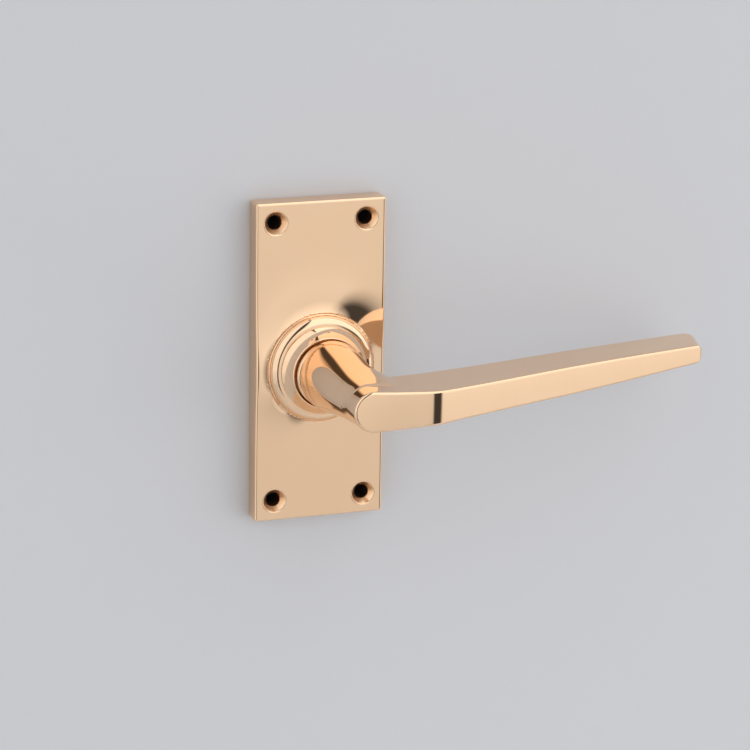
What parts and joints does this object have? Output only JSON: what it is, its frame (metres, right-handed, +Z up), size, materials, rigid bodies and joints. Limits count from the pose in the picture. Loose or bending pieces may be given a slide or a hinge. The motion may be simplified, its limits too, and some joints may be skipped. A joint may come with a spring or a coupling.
{
  "type": "door lever handle",
  "caption": "Straight tapering door lever on a short rectangular backplate; it turns down against a return spring and drives a square spindle.",
  "frame": {"origin": "on the spindle axis, in the plane of the door face that the back of the plate rests on", "axes": "+X along the lever from spindle to tip, +Y into the door along the spindle, +Z up"},
  "size_m": [0.1617, 0.1301, 0.114],
  "materials": {
    "polished_brass": "mirror polished, unlacquered",
    "bush_bronze": "turned, oiled",
    "bright_steel": "bright drawn",
    "black_steel": "black oxide",
    "spring_steel": "oiled spring steel",
    "plated_steel": "zinc plated",
    "white_nylon": "moulded"
  },
  "bodies": {
    "plate": {"backplate": "polished_brass", "boss_collar": "polished_brass", "bearing_bush": "bush_bronze", "stop_pins": "bright_steel", "liner_washer": "white_nylon", "cover_plate": "plated_steel", "cover_screws": "plated_steel", "return_spring": "spring_steel"},
    "lever": {"lever_handle": "polished_brass", "neck_ring": "polished_brass", "spindle": "bright_steel", "set_screw": "black_steel", "spring_guide": "white_nylon", "spring_driver": "plated_steel", "spring_washer": "spring_steel", "retaining_clip": "spring_steel"}
  },
  "joints": [
    {"name": "lever_turn", "type": "hinge", "parent": "plate", "child": "lever", "pos_m": [0, 0, 0], "axis": [0, 1, 0], "range_deg": [0, 55], "stiffness_Nm_per_rad": 1, "springref_deg": -34.38, "deforming": ["return_spring"]}
  ]
}
